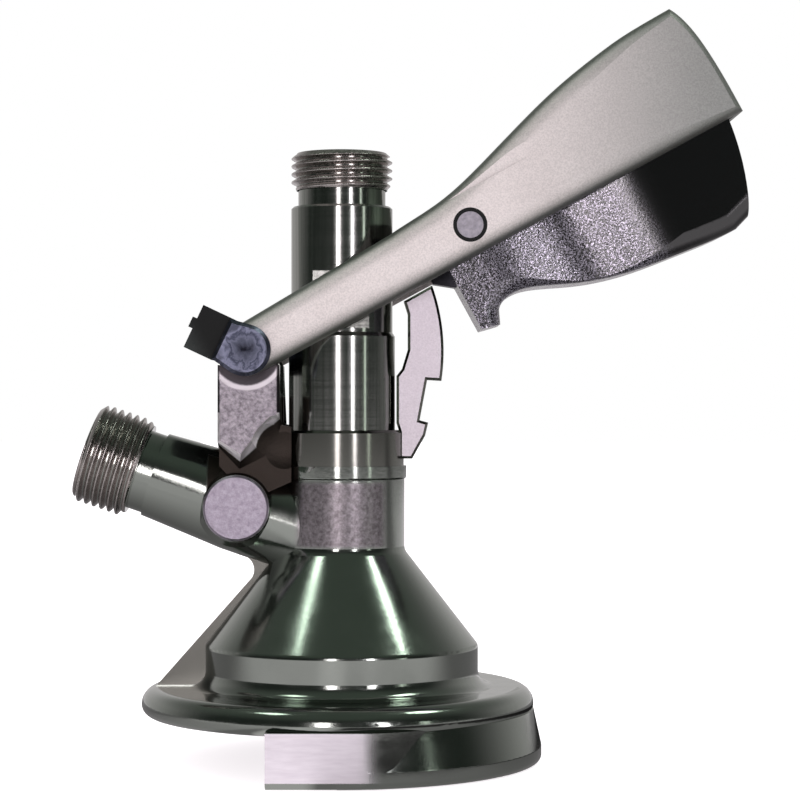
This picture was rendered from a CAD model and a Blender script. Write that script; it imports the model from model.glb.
import bpy
import numpy as np
from mathutils import Matrix, Vector


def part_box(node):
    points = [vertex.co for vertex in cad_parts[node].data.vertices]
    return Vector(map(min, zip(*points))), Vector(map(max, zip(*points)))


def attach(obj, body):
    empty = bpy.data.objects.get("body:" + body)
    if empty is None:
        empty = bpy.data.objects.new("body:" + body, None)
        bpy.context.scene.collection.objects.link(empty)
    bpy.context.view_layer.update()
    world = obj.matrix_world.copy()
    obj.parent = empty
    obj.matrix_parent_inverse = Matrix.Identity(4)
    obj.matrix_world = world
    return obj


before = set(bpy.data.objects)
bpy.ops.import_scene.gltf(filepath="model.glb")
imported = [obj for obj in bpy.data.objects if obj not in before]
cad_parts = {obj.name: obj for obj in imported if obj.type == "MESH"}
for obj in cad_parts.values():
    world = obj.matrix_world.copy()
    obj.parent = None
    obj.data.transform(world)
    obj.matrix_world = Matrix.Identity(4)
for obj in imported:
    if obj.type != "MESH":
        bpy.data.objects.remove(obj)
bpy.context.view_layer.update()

# ---------------------------------------------------------------- forged body
# Hot-forged brass: bell, horseshoe base, neck, inlet and ears in one piece. The bell
# and neck are turned and buffed, the ears and the boss keep the skin of the die, and
# all of it is plated with dark nickel.


def linear(colour):
    """A hex sRGB colour as linear RGBA: a channel c becomes c / 12.92 where it is dark, and
    ((c + 0.055) / 1.055) to the power 2.4 elsewhere."""
    channels = [int(colour[i:i + 2], 16) / 255 for i in (1, 3, 5)]
    return tuple(c / 12.92 if c <= 0.04045 else ((c + 0.055) / 1.055) ** 2.4 for c in channels) + (1.0,)


def add(tree, kind, inputs=(), **settings):
    """Adds a node with its settings. Each listed socket gets a value, an output that feeds it, or
    the first open output of another node."""
    node = tree.nodes.new(kind)
    for name, value in settings.items():
        setattr(node, name, value)
    for socket, value in dict(inputs).items():
        if isinstance(value, bpy.types.Node):
            value = next(output for output in value.outputs if output.enabled)
        if isinstance(value, bpy.types.NodeSocket):
            tree.links.new(value, node.inputs[socket])
        else:
            node.inputs[socket].default_value = value
    return node


def bare_material(name):
    """A new material with an empty tree, and the object's own coordinates in metres."""
    material = bpy.data.materials.new(name)
    material.use_nodes = True
    tree = material.node_tree
    tree.nodes.clear()
    return material, tree, add(tree, "ShaderNodeTexCoord").outputs["Object"]


def inside(tree, *ranges):
    """1 where each value lies between its low and its high, fading to 0 over soft beyond them: a rise
    times a fall for every (value, low, high, soft), all multiplied together."""
    mask = None
    for value, low, high, soft in ranges:
        rise = add(tree, "ShaderNodeMapRange", {"Value": value, "From Min": low - soft, "From Max": low},
                   interpolation_type="SMOOTHSTEP")
        fall = add(tree, "ShaderNodeMapRange",
                   {"Value": value, "From Min": high, "From Max": high + soft, "To Min": 1.0, "To Max": 0.0},
                   interpolation_type="SMOOTHSTEP")
        band = add(tree, "ShaderNodeMath", {0: rise, 1: fall}, operation="MULTIPLY")
        mask = band if mask is None else add(tree, "ShaderNodeMath", {0: mask, 1: band}, operation="MULTIPLY")
    return mask


def sideways(tree):
    """How squarely the surface faces either side of the coupler: the size of its normal's Y."""
    normal = add(tree, "ShaderNodeNewGeometry").outputs["Normal"]
    facing = add(tree, "ShaderNodeSeparateXYZ", {"Vector": normal}).outputs["Y"]
    return add(tree, "ShaderNodeMath", {0: facing}, operation="ABSOLUTE")


def dress(material, *names):
    """Gives CAD nodes this material."""
    for name in names:
        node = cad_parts[name]
        for slot in node.material_slots:
            slot.material = material
        if not node.material_slots:
            node.data.materials.append(material)


# Dark nickel over buffed brass: a deep green-grey mirror, a little uneven where the
# buffing wheel ran. The die skin left on the ears, boss and neck is paler and pitted.
WHEEL_MARK = 1 / 160            # 6 mm from one pass of the wheel to the next
DIE_PIT = 1 / 1100              # 0.9 mm, coarser than the real pits so that they show
MILL_STROKE = 1 / 240           # the cutter's lines on the base, 4 mm long
MILL_LINE = 1 / 1500            # and 0.7 mm apart
PIN_AXIS = Vector((-0.02083, 0.0, 0.09214))

nickel, tree, place = bare_material("dark_nickel_plate")
x, y, z = add(tree, "ShaderNodeSeparateXYZ", {"Vector": place}).outputs
across = add(tree, "ShaderNodeMath", {0: y}, operation="ABSOLUTE")
# The die skin: both ears with the bosses below them.
die_skin = inside(tree, (x, -0.0305, -0.0134, 0.0006), (z, 0.0495, 0.101, 0.0012),
                  (across, 0.0119, 0.03, 0.0003))
# The root between the ears, which no wheel reaches, stays almost black.
root = inside(tree, (x, -0.0295, -0.0096, 0.0006), (z, 0.0605, 0.0815, 0.0012),
              (across, 0.0060, 0.0116, 0.0003))
# The web under the inlet is forged too, and too narrow for the wheel.
web = inside(tree, (x, -0.06, -0.0130, 0.0005), (z, 0.0172, 0.0465, 0.0005),
             (across, -0.001, 0.0029, 0.0003))
# A bare pad on the front and back of the neck, forged and not turned.
pad = inside(tree, (x, -0.0085, 0.0085, 0.0022), (z, 0.0492, 0.0622, 0.0012),
             (across, 0.0100, 0.0160, 0.0008))
# The milled sides of the horseshoe, which fade out where the flat sweeps into the skirt.
milled = inside(tree, (x, -0.016, 0.0035, 0.0065), (z, 0.0016, 0.0117, 0.0002),
                (across, 0.0425, 0.0460, 0.0010))

wheel = add(tree, "ShaderNodeTexNoise", {"Vector": place, "Scale": 1 / WHEEL_MARK, "Detail": 3.0})
pits = add(tree, "ShaderNodeTexNoise",
           {"Vector": place, "Scale": 1 / DIE_PIT, "Detail": 5.0, "Roughness": 0.65})
mottle = add(tree, "ShaderNodeMapRange", {"Value": pits, "From Min": 0.32, "From Max": 0.68})
stroke = add(tree, "ShaderNodeMapping",
             {"Vector": place, "Scale": (1 / MILL_STROKE, 1 / MILL_STROKE, 1 / MILL_LINE)})
cutter = add(tree, "ShaderNodeTexNoise", {"Vector": stroke, "Scale": 1.0, "Detail": 3.0})

pad_tone, boss_tone, milled_tone, skin_tone = (
    add(tree, "ShaderNodeMix", {"Factor": pattern, "A": linear(dark), "B": linear(light)}, data_type="RGBA")
    for pattern, dark, light in ((mottle, "#6a6467", "#a09a9e"), (mottle, "#968e9b", "#b6aebb"),
                                 (cutter, "#dcd5dd", "#f6f1f7"), (mottle, "#6f6a70", "#b3acb3")))
# The mill that faced the ears left a ring round the pin, dark inside and bright at its rim.
from_pin = add(tree, "ShaderNodeMapping", {"Vector": place, "Location": -PIN_AXIS, "Scale": (1.0, 0.0, 1.0)})
from_pin = add(tree, "ShaderNodeVectorMath", {0: from_pin}, operation="LENGTH")
for low, high, tone in ((-0.001, 0.0074, "#4c484b"), (0.0080, 0.0086, "#d9d4d8")):
    skin_tone = add(tree, "ShaderNodeMix", {"Factor": inside(tree, (from_pin, low, high, 0.0004)),
                                            "A": skin_tone, "B": linear(tone)}, data_type="RGBA")
# Bright chamfers under the ears and round the bosses; the ears' long edges stay dark.
slant = add(tree, "ShaderNodeMapRange", {"Value": sideways(tree), "From Min": 0.80, "From Max": 0.95,
                                         "To Min": 1.0, "To Max": 0.0}, interpolation_type="SMOOTHSTEP")
below = inside(tree, (z, 0.04, 0.0782, 0.0004))
edge_tone = add(tree, "ShaderNodeMix", {"Factor": below, "A": linear("#2c292b"), "B": skin_tone},
                data_type="RGBA")
skin_tone = add(tree, "ShaderNodeMix", {"Factor": inside(tree, (x, -0.0266, -0.0144, 0.0005)),
                                        "A": edge_tone, "B": skin_tone}, data_type="RGBA")
chamfer = add(tree, "ShaderNodeMath", {0: slant, 1: below}, operation="MULTIPLY")
boss_face = inside(tree, (across, 0.0136, 0.03, 0.0002))
for mask, tone in ((chamfer, linear("#f3eff2")), (boss_face, boss_tone)):
    skin_tone = add(tree, "ShaderNodeMix", {"Factor": mask, "A": skin_tone, "B": tone}, data_type="RGBA")

# The buffed plate, with the rougher places laid over it one by one.
colour = linear("#8f948e")
roughness = add(tree, "ShaderNodeMapRange", {"Value": wheel, "From Min": 0.3, "From Max": 0.7,
                                             "To Min": 0.10, "To Max": 0.17})
for mask, tone, level in ((die_skin, skin_tone, 0.40), (root, linear("#3b3531"), 0.45),
                          (web, linear("#666661"), 0.30), (pad, pad_tone, 0.34), (milled, milled_tone, 0.50)):
    colour = add(tree, "ShaderNodeMix", {"Factor": mask, "A": colour, "B": tone}, data_type="RGBA")
    roughness = add(tree, "ShaderNodeMix", {"Factor": mask, "A": roughness, "B": level})
pitted = add(tree, "ShaderNodeMath", {0: die_skin, 1: root}, operation="MAXIMUM")
depth = add(tree, "ShaderNodeMapRange", {"Value": pitted, "To Min": 0.05, "To Max": 0.6})
relief = add(tree, "ShaderNodeBump", {"Height": pits, "Strength": depth, "Distance": 0.0002})
skin = add(tree, "ShaderNodeBsdfPrincipled",
           {"Base Color": colour, "Metallic": 1.0, "Roughness": roughness, "Normal": relief})
add(tree, "ShaderNodeOutputMaterial", {"Surface": skin})
dress(nickel, "body")

# ---------------------------------------------------------------- pipe threads
# Cut threads, G 5/8 at 14 turns to the inch, on the gas inlet and on the top of the
# probe, for the coupling nuts of the gas and beer hoses.
PITCH = 0.001814
CREST_R = 0.01142
ROOT_R = 0.01026
ROWS_A_PITCH = 18
COLUMNS = 144
ROOT_FLAT, FLANK = 0.10, 0.76   # shares of half a pitch: the flat at the root, then the flank
ROUNDING = 0.35                 # share of the flank's height that follows a smooth S
RUNOUT = 0.9 * PITCH            # over which the thread comes up to its full height
BORE_SUNK = 0.0005              # the sleeve's inside lies this far below the root
END_SUNK = 0.0002               # so does its chamfer at the free end
CHAMFER_RISE = 0.00135
CHAMFER_LENGTH = 0.0012


def thread_sleeve(name, foot, axis, length):
    """A threaded sleeve along an axis. Radius at distance s and turn t: root plus the height of a rounded
    55 degree ridge whose crest sits where s / pitch - t is a whole number, under a chamfer at the free end
    and a runout at the foot; the inside is a plain bore sunk below the root."""
    s = np.linspace(0, length, int(length / PITCH * ROWS_A_PITCH))[:, None]
    turn = np.linspace(0, 1, COLUMNS + 1)[None, :-1]
    phase = np.abs(((s / PITCH - turn) % 1.0) - 0.5) * 2
    ridge = np.clip((phase - ROOT_FLAT) / FLANK, 0, 1)
    ridge = ridge * ridge * (3 - 2 * ridge) * ROUNDING + ridge * (1 - ROUNDING)
    limit = ROOT_R - END_SUNK + np.minimum((length - s) / CHAMFER_LENGTH, 1.0) * CHAMFER_RISE
    runout = np.clip(s / RUNOUT, 0, 1)
    radius = np.minimum(ROOT_R + (CREST_R - ROOT_R) * ridge * runout, limit)
    outer = np.stack(np.broadcast_arrays(s, radius, turn * 2 * np.pi), -1)
    inner = outer[::-1][[0, -1]].copy()
    inner[..., 1] = ROOT_R - BORE_SUNK
    along, r, angle = np.moveaxis(np.concatenate([outer, inner]), -1, 0)[..., None]
    axis = Vector(axis).normalized()
    side = axis.cross(Vector((0, 1, 0))).normalized()
    other = axis.cross(side)
    points = (np.array(foot) + along * np.array(axis)
              + r * np.cos(angle) * np.array(side) + r * np.sin(angle) * np.array(other))
    rows = len(points)
    here = np.arange(rows * COLUMNS).reshape(rows, COLUMNS)
    beside = np.roll(here, -1, 1)
    quads = np.stack([here, beside, np.roll(beside, -1, 0), np.roll(here, -1, 0)], -1).reshape(-1, 4)
    mesh = bpy.data.meshes.new(name)
    mesh.from_pydata(points.reshape(-1, 3).tolist(), [], quads.tolist())
    mesh.polygons.foreach_set("use_smooth", [True] * len(quads))
    piece = bpy.data.objects.new(name, mesh)
    bpy.context.scene.collection.objects.link(piece)
    return piece


INLET_AXIS = Vector((-0.944949, 0, 0.327218))
INLET_CROSSING = Vector((0, 0, 0.0497))     # where the inlet's axis meets the probe's
INLET_THREAD_START, INLET_THREAD_LENGTH = 0.0483, 0.0126
PROBE_THREAD_DROP, PROBE_THREAD_LENGTH = 0.0085, 0.00845    # from the probe's top

inlet_foot = INLET_CROSSING + INLET_AXIS * INLET_THREAD_START
inlet_thread = thread_sleeve("inlet_thread", inlet_foot, INLET_AXIS, INLET_THREAD_LENGTH)
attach(inlet_thread, "coupler")

probe_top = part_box("probe_tube")[1].z
probe_foot = Vector((0, 0, probe_top - PROBE_THREAD_DROP))
probe_thread = thread_sleeve("probe_thread", probe_foot, (0, 0, 1), PROBE_THREAD_LENGTH)
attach(probe_thread, "probe")

# Both threads are cut after the plating or left bare: torn flanks, greyer and rougher.
TEAR = 1 / 1300                 # 0.8 mm from one torn place to the next

torn, tree, place = bare_material("cut_thread_flanks")
tears = add(tree, "ShaderNodeTexNoise", {"Vector": place, "Scale": 1 / TEAR, "Detail": 3.0, "Roughness": 0.6})
colour = add(tree, "ShaderNodeMix", {"Factor": tears, "A": linear("#7f7a76"), "B": linear("#d2ccc9")},
             data_type="RGBA")
roughness = add(tree, "ShaderNodeMapRange", {"Value": tears, "From Min": 0.3, "From Max": 0.7,
                                             "To Min": 0.16, "To Max": 0.34})
relief = add(tree, "ShaderNodeBump", {"Height": tears, "Strength": 0.25, "Distance": 0.0001})
skin = add(tree, "ShaderNodeBsdfPrincipled",
           {"Base Color": colour, "Metallic": 1.0, "Roughness": roughness, "Normal": relief})
add(tree, "ShaderNodeOutputMaterial", {"Surface": skin})
probe_thread.data.materials.append(torn)
inlet_thread.data.materials.append(torn)

# ---------------------------------------------------------------- probe
# Turned stainless tube, ground where it slides: fine rings round it from the lathe, and
# faint streaks along it from drawing.
LATHE_RING, RING_RUN = 1 / 5200, 1 / 40     # rings 0.2 mm apart, which change every 25 mm round
STREAK, STREAK_RUN = 1 / 900, 1 / 12        # streaks 1 mm wide, which run for 80 mm

steel, tree, place = bare_material("turned_stainless")
stretched = (
    add(tree, "ShaderNodeMapping", {"Vector": place, "Scale": (1 / wide, 1 / wide, 1 / tall)})
    for wide, tall in ((RING_RUN, LATHE_RING), (STREAK, STREAK_RUN)))
turning, streaks = (
    add(tree, "ShaderNodeTexNoise", {"Vector": grid, "Scale": 1.0, "Detail": 2.0}) for grid in stretched)
drawn = add(tree, "ShaderNodeMapRange", {"Value": streaks, "From Min": 0.35, "From Max": 0.65})
colour = add(tree, "ShaderNodeMix", {"Factor": drawn, "A": linear("#868a84"), "B": linear("#a9aaa6")},
             data_type="RGBA")
roughness = add(tree, "ShaderNodeMapRange", {"Value": turning, "From Min": 0.3, "From Max": 0.7,
                                             "To Min": 0.12, "To Max": 0.17})
relief = add(tree, "ShaderNodeBump", {"Height": turning, "Strength": 0.025, "Distance": 0.0001})
skin = add(tree, "ShaderNodeBsdfPrincipled",
           {"Base Color": colour, "Metallic": 1.0, "Roughness": roughness, "Normal": relief})
add(tree, "ShaderNodeOutputMaterial", {"Surface": skin})
dress(steel, "probe_tube")

# ---------------------------------------------------------------- lever
# Investment casting blasted with fine glass beads, which leaves a pale satin skin with
# a slight sparkle. Hands have burnished the crown and the edges, so they are darker and
# more metallic, and the handle is greener towards its hollow end.
BEAD_MARK = 1 / 2600            # 0.4 mm, coarser than the real marks so that they show
CLOUD = 1 / 90                  # 11 mm patches of lighter and darker blasting

satin, tree, place = bare_material("bead_blasted_casting")
x = add(tree, "ShaderNodeSeparateXYZ", {"Vector": place}).outputs["X"]
beads = add(tree, "ShaderNodeTexNoise",
            {"Vector": place, "Scale": 1 / BEAD_MARK, "Detail": 2.0, "Roughness": 0.7})
clouds = add(tree, "ShaderNodeTexNoise", {"Vector": place, "Scale": 1 / CLOUD, "Detail": 3.0})
tone = add(tree, "ShaderNodeMix", {"Factor": clouds, "A": linear("#e6dddb"), "B": linear("#f8f0ee")},
           data_type="RGBA")
handle_end = add(tree, "ShaderNodeMapRange", {"Value": x, "From Min": 0.030, "From Max": 0.088},
                 interpolation_type="SMOOTHSTEP")
crown = add(tree, "ShaderNodeMapRange", {"Value": sideways(tree), "From Min": 0.45, "From Max": 0.92,
                                         "To Min": 1.0, "To Max": 0.0}, interpolation_type="SMOOTHSTEP")
for mask, worn in ((handle_end, "#9c9d9a"), (crown, "#999c96")):
    tone = add(tree, "ShaderNodeMix", {"Factor": mask, "A": tone, "B": linear(worn)}, data_type="RGBA")
grain = add(tree, "ShaderNodeMapRange", {"Value": beads, "From Min": 0.35, "From Max": 0.65,
                                         "To Min": 0.78, "To Max": 1.0})
colour = add(tree, "ShaderNodeMix", {"Factor": 1.0, "A": tone, "B": grain},
             data_type="RGBA", blend_type="MULTIPLY")
skin = add(tree, "ShaderNodeBsdfPrincipled", {
    "Base Color": colour,
    "Metallic": add(tree, "ShaderNodeMapRange", {"Value": crown, "To Min": 0.55, "To Max": 1.0}),
    "Roughness": add(tree, "ShaderNodeMapRange", {"Value": beads, "To Min": 0.45, "To Max": 0.62}),
    "Normal": add(tree, "ShaderNodeBump", {"Height": beads, "Strength": 0.4, "Distance": 0.0001})})
add(tree, "ShaderNodeOutputMaterial", {"Surface": skin})
dress(satin, "lever")

# ---------------------------------------------------------------- catch
# A turned ring with the catch standing on it. The catch has the lever's blasted skin on
# its two sides. Its rim and the collar are polished, and dark like the body.
hook, tree, place = bare_material("blasted_catch_on_polished_collar")
x = add(tree, "ShaderNodeSeparateXYZ", {"Vector": place}).outputs["X"]
flatness = add(tree, "ShaderNodeMapRange", {"Value": sideways(tree), "From Min": 0.86, "From Max": 0.97},
               interpolation_type="SMOOTHSTEP")
blasted = add(tree, "ShaderNodeMath", {0: flatness, 1: inside(tree, (x, 0.0112, 0.0300, 0.0003))},
              operation="MULTIPLY")
beads = add(tree, "ShaderNodeTexNoise",
            {"Vector": place, "Scale": 1 / BEAD_MARK, "Detail": 2.0, "Roughness": 0.7})
tone = add(tree, "ShaderNodeMix", {"Factor": beads, "A": linear("#c9c1c8"), "B": linear("#f2ebf1")},
           data_type="RGBA")
colour = add(tree, "ShaderNodeMix", {"Factor": blasted, "A": linear("#7f807a"), "B": tone}, data_type="RGBA")
depth = add(tree, "ShaderNodeMapRange", {"Value": blasted, "To Min": 0.02, "To Max": 0.4})
skin = add(tree, "ShaderNodeBsdfPrincipled", {
    "Base Color": colour, "Metallic": 1.0,
    "Roughness": add(tree, "ShaderNodeMapRange", {"Value": blasted, "To Min": 0.16, "To Max": 0.5}),
    "Normal": add(tree, "ShaderNodeBump", {"Height": beads, "Strength": depth, "Distance": 0.0001})})
add(tree, "ShaderNodeOutputMaterial", {"Surface": skin})
dress(hook, "catch_collar")

# ---------------------------------------------------------------- pins, studs, washers
# Plain stainless wire, bar and ring, cut to length and tumbled with stone until the
# edges are off: bluish and fairly smooth.
SCUFF = 1 / 900                 # 1.1 mm from one scuff to the next

pin_steel, tree, place = bare_material("tumbled_stainless")
scuffs = add(tree, "ShaderNodeTexNoise", {"Vector": place, "Scale": 1 / SCUFF, "Detail": 4.0})
colour = add(tree, "ShaderNodeMix", {"Factor": scuffs, "A": linear("#5d5c63"), "B": linear("#b9b5bd")},
             data_type="RGBA")
roughness = add(tree, "ShaderNodeMapRange", {"Value": scuffs, "To Min": 0.25, "To Max": 0.5})
skin = add(tree, "ShaderNodeBsdfPrincipled", {"Base Color": colour, "Metallic": 1.0, "Roughness": roughness})
add(tree, "ShaderNodeOutputMaterial", {"Surface": skin})
dress(pin_steel, "pivot_washers", "drive_studs", "trigger_pin", "pawl_pin", "trigger_spring", "check_ball")

# The lever's pin has a head closed by a spinning tool, which leaves swirls round a dark,
# worn middle, blue-grey from the heat.
SWIRL = 1 / 300                 # 3 mm from one swirl to the next
HEAD_R = 0.0058
WANDER = 0.0016                 # how far the swirls stray from circles

spun, tree, place = bare_material("spun_pin_head")
from_axis = add(tree, "ShaderNodeMapping", {"Vector": place, "Location": -PIN_AXIS, "Scale": (1.0, 0.0, 1.0)})
scuffs = add(tree, "ShaderNodeTexNoise", {"Vector": from_axis, "Scale": 1 / SWIRL, "Detail": 4.0,
                                          "Roughness": 0.6, "Distortion": 0.5})
wander = add(tree, "ShaderNodeMapRange", {"Value": scuffs, "From Min": 0.3, "From Max": 0.7,
                                          "To Min": -WANDER, "To Max": WANDER})
radius = add(tree, "ShaderNodeVectorMath", {0: from_axis}, operation="LENGTH")
radius = add(tree, "ShaderNodeMath", {0: radius, 1: wander}, operation="ADD")
share = add(tree, "ShaderNodeMapRange", {"Value": radius, "From Max": HEAD_R})
swirl = add(tree, "ShaderNodeValToRGB", {"Fac": share})
stops = swirl.color_ramp.elements
stops[0].color, stops[-1].color = linear("#16171e"), linear("#4a4d5a")
for position, shade in ((0.38, "#4a4d5a"), (0.52, "#5a5d6c"), (0.62, "#383b48"), (0.80, "#6f7284")):
    stops.new(position).color = linear(shade)
skin = add(tree, "ShaderNodeBsdfPrincipled", {
    "Base Color": swirl, "Metallic": 1.0,
    "Roughness": add(tree, "ShaderNodeMapRange", {"Value": scuffs, "To Min": 0.25, "To Max": 0.5}),
    "Normal": add(tree, "ShaderNodeBump", {"Height": scuffs, "Strength": 0.4, "Distance": 0.0002})})
add(tree, "ShaderNodeOutputMaterial", {"Surface": skin})
dress(spun, "lever_pin")

# The pawl is hardened and black from its oil quench.
QUENCH_SCALE = 1 / 800          # 1.3 mm flakes of scale

black_steel, tree, place = bare_material("oil_blacked_steel")
flakes = add(tree, "ShaderNodeTexNoise", {"Vector": place, "Scale": 1 / QUENCH_SCALE, "Detail": 3.0})
colour = add(tree, "ShaderNodeMix", {"Factor": flakes, "A": linear("#1d1d20"), "B": linear("#3b3b40")},
             data_type="RGBA")
roughness = add(tree, "ShaderNodeMapRange", {"Value": flakes, "To Min": 0.3, "To Max": 0.5})
skin = add(tree, "ShaderNodeBsdfPrincipled", {"Base Color": colour, "Metallic": 1.0, "Roughness": roughness})
add(tree, "ShaderNodeOutputMaterial", {"Surface": skin})
dress(black_steel, "latch_pawl")

# ---------------------------------------------------------------- trigger, pin lock, bushes
# Glass-filled nylon, moulded black: a fine spark-eroded grain that catches a lilac sheen
# where the light grazes it. The mould is smooth behind the finger hollow.
SPARK_GRAIN = 1 / 1900          # 0.5 mm, coarser than the real grain so that it shows
GLASS_FIBRE = 1 / 3200          # 0.3 mm, the length of a fibre
FIBRE_METAL = 0.6               # how far a fibre's glint is like a metal's
LEVER_RUN = (0.8788, 0.0, 0.4772)       # along the lever, 28.5 degrees up

nylon, tree, place = bare_material("black_glass_filled_nylon")
grain = add(tree, "ShaderNodeTexNoise",
            {"Vector": place, "Scale": 1 / SPARK_GRAIN, "Detail": 2.0, "Roughness": 0.6})
along = add(tree, "ShaderNodeVectorMath", {0: place, 1: LEVER_RUN}, operation="DOT_PRODUCT")
grained = add(tree, "ShaderNodeMapRange", {"Value": along, "From Min": 0.1115, "From Max": 0.1205,
                                           "To Min": 1.0, "To Max": 0.0}, interpolation_type="SMOOTHSTEP")
# Glass fibres that lie in the surface glint where a light is mirrored.
fibres = add(tree, "ShaderNodeTexNoise", {"Vector": place, "Scale": 1 / GLASS_FIBRE, "Detail": 1.0})
fibres = add(tree, "ShaderNodeMapRange", {"Value": fibres, "From Min": 0.46, "From Max": 0.62})
fibres = add(tree, "ShaderNodeMath", {0: fibres, 1: grained}, operation="MULTIPLY")
colour = add(tree, "ShaderNodeMix", {"Factor": fibres, "A": linear("#020203"), "B": linear("#a39dab")},
             data_type="RGBA")
eroded = add(tree, "ShaderNodeMapRange", {"Value": grain, "From Min": 0.3, "From Max": 0.7,
                                          "To Min": 0.13, "To Max": 0.24})
depth = add(tree, "ShaderNodeMapRange", {"Value": grained, "To Min": 0.03, "To Max": 0.45})
skin = add(tree, "ShaderNodeBsdfPrincipled", {
    "Base Color": colour, "IOR": 1.53, "Specular IOR Level": 0.9,
    "Metallic": add(tree, "ShaderNodeMath", {0: fibres, 1: FIBRE_METAL}, operation="MULTIPLY"),
    "Roughness": add(tree, "ShaderNodeMix", {"Factor": grained, "A": 0.13, "B": eroded}),
    "Normal": add(tree, "ShaderNodeBump", {"Height": grain, "Strength": depth, "Distance": 0.0001})})
add(tree, "ShaderNodeOutputMaterial", {"Surface": skin})
dress(nylon, "trigger")

# The lock across the pin heads and the bushes are the same nylon from a rougher mould. The
# lock is greyer where the turning heads rub it.
MOULD_GRAIN = 1 / 1500          # 0.7 mm, coarser than the real grain so that it shows

dull_nylon, tree, place = bare_material("matt_black_nylon")
grain = add(tree, "ShaderNodeTexNoise",
            {"Vector": place, "Scale": 1 / MOULD_GRAIN, "Detail": 3.0, "Roughness": 0.6})
along = add(tree, "ShaderNodeVectorMath", {0: place, 1: LEVER_RUN}, operation="DOT_PRODUCT")
rubbed = add(tree, "ShaderNodeMapRange", {"Value": along, "From Min": 0.0125, "From Max": 0.0200,
                                          "To Min": 1.0, "To Max": 0.0}, interpolation_type="SMOOTHSTEP")
half_grain = add(tree, "ShaderNodeMath", {0: grain, 1: 0.5}, operation="MULTIPLY")
colour = linear("#050606")
for mask, shade in ((rubbed, "#3a3f3e"), (half_grain, "#1e2120")):
    colour = add(tree, "ShaderNodeMix", {"Factor": mask, "A": colour, "B": linear(shade)}, data_type="RGBA")
skin = add(tree, "ShaderNodeBsdfPrincipled", {
    "Base Color": colour, "IOR": 1.53, "Specular IOR Level": 0.22,
    "Roughness": add(tree, "ShaderNodeMapRange", {"Value": grain, "To Min": 0.45, "To Max": 0.65}),
    "Normal": add(tree, "ShaderNodeBump", {"Height": grain, "Strength": 0.25, "Distance": 0.0001})})
add(tree, "ShaderNodeOutputMaterial", {"Surface": skin})
dress(dull_nylon, "pin_lock", "trigger_bushes")

# ---------------------------------------------------------------- seals and check valve
# Black nitrile rubber, matt, with a slight bloom, and the pale moulded acetal of the ball
# cage and of the ring that holds the gas valve.
BLOOM = 1 / 400                 # 2.5 mm clouds of bloom
FLOW_MARK = 1 / 150             # 7 mm between the marks where the melt flowed

rubber, tree, place = bare_material("nitrile_rubber")
bloom = add(tree, "ShaderNodeTexNoise", {"Vector": place, "Scale": 1 / BLOOM, "Detail": 3.0})
colour = add(tree, "ShaderNodeMix", {"Factor": bloom, "A": linear("#101011"), "B": linear("#26262a")},
             data_type="RGBA")
roughness = add(tree, "ShaderNodeMapRange", {"Value": bloom, "To Min": 0.5, "To Max": 0.7})
skin = add(tree, "ShaderNodeBsdfPrincipled", {"Base Color": colour, "IOR": 1.52, "Roughness": roughness})
add(tree, "ShaderNodeOutputMaterial", {"Surface": skin})
dress(rubber, "probe_tip_seal", "lower_o_ring", "upper_o_ring", "body_seal", "gas_check_valve")

acetal, tree, place = bare_material("natural_acetal")
flow = add(tree, "ShaderNodeTexNoise", {"Vector": place, "Scale": 1 / FLOW_MARK, "Detail": 2.0})
colour = add(tree, "ShaderNodeMix", {"Factor": flow, "A": linear("#cfcdc4"), "B": linear("#e4e2da")},
             data_type="RGBA")
roughness = add(tree, "ShaderNodeMapRange", {"Value": flow, "To Min": 0.35, "To Max": 0.45})
skin = add(tree, "ShaderNodeBsdfPrincipled", {"Base Color": colour, "IOR": 1.48, "Roughness": roughness})
add(tree, "ShaderNodeOutputMaterial", {"Surface": skin})
dress(acetal, "ball_cage", "gas_valve_retainer")

# ---------------------------------------------------------------- floor
# A sheet of white paper that runs out of sight. Metal mirrors it as a lit sheet with dark
# places: below the object, beside it, and far off.
REACH = 4.0
DROP = 0.0002                   # below the base plane, so that the two don't flicker
PAPER_GLOW = 0.8                # what the paper adds where it is seen directly
PAPER_WHITE = 0.88              # and the share of the light that it sends back
BEAM_LEFT = 0.012               # the beam fans out from this far left of the probe

floor_mesh = bpy.data.meshes.new("floor")
floor_mesh.from_pydata([(-REACH, -REACH, -DROP), (REACH, -REACH, -DROP), (REACH, REACH, -DROP),
                        (-REACH, REACH, -DROP)], [], [(0, 1, 2, 3)])
floor = bpy.data.objects.new("floor", floor_mesh)
bpy.context.scene.collection.objects.link(floor)

paper, tree, place = bare_material("white_paper")
ray = add(tree, "ShaderNodeLightPath").outputs
away = add(tree, "ShaderNodeVectorMath", {0: place}, operation="LENGTH")
spot = add(tree, "ShaderNodeSeparateXYZ", {"Vector": place}).outputs
# The mirrored level, from first to last as a distance goes from start to end.
far, under, clear, left, side, back = (
    add(tree, "ShaderNodeMapRange", {"Value": distance, "From Min": start, "From Max": end,
                                     "To Min": first, "To Max": last}, interpolation_type="SMOOTHSTEP")
    for distance, start, end, first, last in (
        (away, 1.0, 3.0, 0.85, 0.06), (away, 0.062, 0.072, 0.55, 0.08), (away, 0.115, 0.17, 0.0, 1.0),
        (spot["X"], -0.036, -0.022, 0.9, 0.0), (spot["Y"], -0.10, 0.05, 1.0, 0.3),
        (spot["Y"], 0.15, 0.45, 0.0, 1.0)))
near = add(tree, "ShaderNodeMath", {0: clear, 1: under}, operation="MAXIMUM")
near = add(tree, "ShaderNodeMath", {0: near, 1: left}, operation="MAXIMUM")
side = add(tree, "ShaderNodeMath", {0: side, 1: back}, operation="MAXIMUM")
sheet_glow = add(tree, "ShaderNodeMath", {0: far, 1: near}, operation="MULTIPLY")
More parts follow.
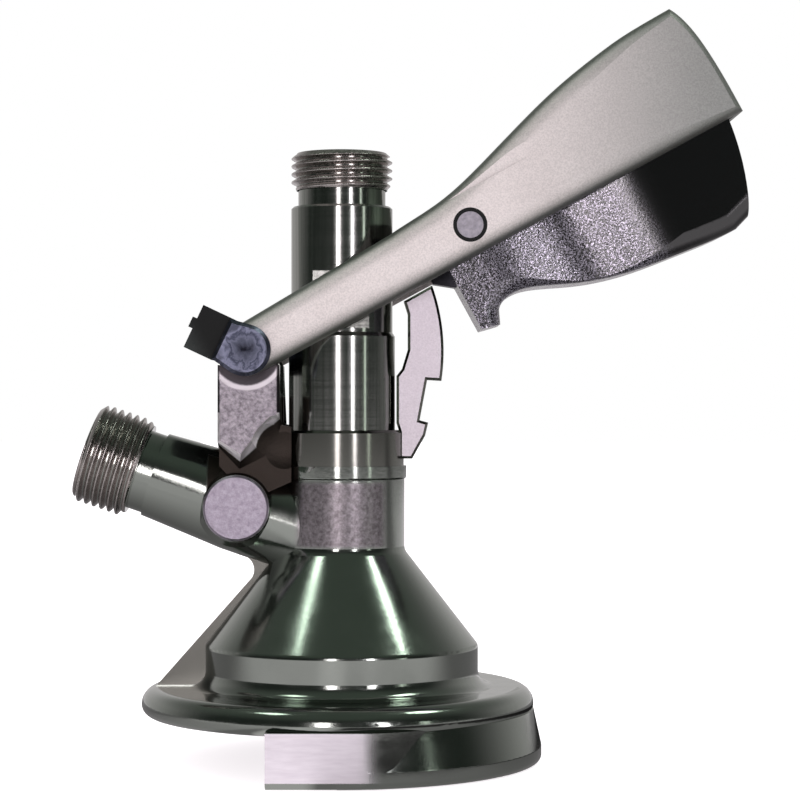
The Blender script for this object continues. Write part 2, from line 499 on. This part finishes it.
sheet_glow = add(tree, "ShaderNodeMath", {0: sheet_glow, 1: side}, operation="MULTIPLY")
# A beam of light across the paper, in front of the object.
bearing = add(tree, "ShaderNodeMath", {0: spot["X"], 1: BEAM_LEFT}, operation="ADD")
bearing = add(tree, "ShaderNodeMath", {0: bearing, 1: spot["Y"]}, operation="DIVIDE")
beam = inside(tree, (bearing, -0.10, 0.22, 0.14), (spot["Y"], -0.5, -0.03, 0.05))
sheet_glow = add(tree, "ShaderNodeMath", {0: sheet_glow, 1: beam}, operation="MAXIMUM")
mirrored = add(tree, "ShaderNodeMath", {0: ray["Is Glossy Ray"], 1: sheet_glow}, operation="MULTIPLY")
direct = add(tree, "ShaderNodeMath", {0: ray["Is Camera Ray"], 1: ray["Is Transmission Ray"]},
             operation="MAXIMUM")
direct = add(tree, "ShaderNodeMath", {0: direct, 1: PAPER_GLOW}, operation="MULTIPLY")
strength = add(tree, "ShaderNodeMath", {0: direct, 1: mirrored}, operation="MAXIMUM")
glow = add(tree, "ShaderNodeEmission", {"Color": linear("#fffafd"), "Strength": strength})
whiteness = add(tree, "ShaderNodeMapRange",
                {"Value": ray["Is Glossy Ray"], "To Min": PAPER_WHITE, "To Max": 0.0})
sheet = add(tree, "ShaderNodeBsdfDiffuse", {"Color": whiteness})
both = add(tree, "ShaderNodeAddShader", {0: glow, 1: sheet})
add(tree, "ShaderNodeOutputMaterial", {"Surface": both})
floor_mesh.materials.append(paper)

# ---------------------------------------------------------------- studio
# A white surround, which metal mirrors as a dim room with a bright wall behind the object,
# and soft boxes beside the camera and overhead.
ROOM_LOW, ROOM_HIGH = (0.036, 0.044, 0.038, 1.0), (0.105, 0.130, 0.108, 1.0)
WALL = (0.62, 0.60, 0.60, 1.0)
DAYLIGHT = (0.80, 0.79, 0.80, 1.0)
WHITE = (1.0, 1.0, 1.0, 1.0)

surround = bpy.data.worlds.new("surround")
bpy.context.scene.world = surround
surround.use_nodes = True
tree = surround.node_tree
tree.nodes.clear()
ray = add(tree, "ShaderNodeLightPath").outputs
seen = add(tree, "ShaderNodeMath", {0: ray["Is Camera Ray"], 1: ray["Is Transmission Ray"]},
           operation="MAXIMUM")
ahead = add(tree, "ShaderNodeTexCoord").outputs["Generated"]
way = add(tree, "ShaderNodeSeparateXYZ", {"Vector": ahead}).outputs
behind, aloft, high = (
    add(tree, "ShaderNodeMapRange", {"Value": part, "From Min": start, "From Max": end,
                                     "To Min": first, "To Max": last}, interpolation_type="SMOOTHSTEP")
    for part, start, end, first, last in (
        (way["Y"], -0.3, 0.9, 0.0, 1.0), (way["Z"], 0.25, 0.8, 1.0, 0.15),
        (way["Z"], 0.35, 0.85, 0.0, 1.0)))
behind = add(tree, "ShaderNodeMath", {0: behind, 1: aloft}, operation="MULTIPLY")
level = ROOM_LOW
for mask, light in ((high, ROOM_HIGH), (behind, WALL)):
    level = add(tree, "ShaderNodeMix", {"Factor": mask, "A": level, "B": light}, data_type="RGBA")
level = add(tree, "ShaderNodeMix", {"Factor": ray["Is Glossy Ray"], "A": DAYLIGHT, "B": level},
            data_type="RGBA")
level = add(tree, "ShaderNodeMix", {"Factor": seen, "A": level, "B": WHITE}, data_type="RGBA")
sky = add(tree, "ShaderNodeBackground", {"Color": level, "Strength": 1.0})
add(tree, "ShaderNodeOutputWorld", {"Surface": sky})

LAMP_AIM = Vector((0, 0, 0.08))


def soft_box(name, azimuth, elevation, distance, size, radiance, colour):
    """An area lamp that faces the object. Azimuth is in degrees to the right of the camera's side, and
    the power is the radiance times pi times the area."""
    width, height = size
    lamp = bpy.data.lights.new(name, "AREA")
    lamp.shape = "RECTANGLE"
    lamp.size, lamp.size_y, lamp.energy = width, height, radiance * np.pi * width * height
    lamp.color = linear(colour)[:3]
    box = bpy.data.objects.new(name, lamp)
    bpy.context.scene.collection.objects.link(box)
    turn, rise = np.radians(azimuth), np.radians(elevation)
    way = Vector((np.cos(rise) * np.sin(turn), -np.cos(rise) * np.cos(turn), np.sin(rise)))
    box.matrix_world = (Matrix.Translation(LAMP_AIM + way * distance)
                        @ way.to_track_quat("Z", "Y").to_matrix().to_4x4())


soft_box("front_box", azimuth=-7, elevation=7, distance=1.4, size=(0.17, 0.60), radiance=9.0,
         colour="#fff6fb")
soft_box("front_strip_right", azimuth=25, elevation=7, distance=1.4, size=(0.11, 0.46), radiance=13.0,
         colour="#fff8ff")
soft_box("side_strip_right", azimuth=52, elevation=3, distance=1.4, size=(0.08, 0.28), radiance=3.0,
         colour="#f4fff2")
soft_box("tube_over_left", azimuth=-71, elevation=64, distance=1.2, size=(0.24, 0.18), radiance=6.0,
         colour="#eefff0")
soft_box("tube_over_right", azimuth=88, elevation=59, distance=1.2, size=(0.20, 0.22), radiance=13.0,
         colour="#eefff0")

# ---------------------------------------------------------------- camera
# Level with the middle of the coupler, square to its side and a little over half a metre
# away.
FOCAL_LENGTH, SENSOR_WIDTH = 106.7, 36.0    # mm
CAMERA_PLACE = (0.01315, -0.537, 0.0812)

lens = bpy.data.cameras.new("camera")
lens.lens, lens.sensor_width = FOCAL_LENGTH, SENSOR_WIDTH
camera = bpy.data.objects.new("camera", lens)
bpy.context.scene.collection.objects.link(camera)
camera.matrix_world = Matrix.Translation(CAMERA_PLACE) @ Matrix.Rotation(np.pi / 2, 4, "X")
bpy.context.scene.camera = camera
bpy.context.scene.view_settings.view_transform = "Standard"
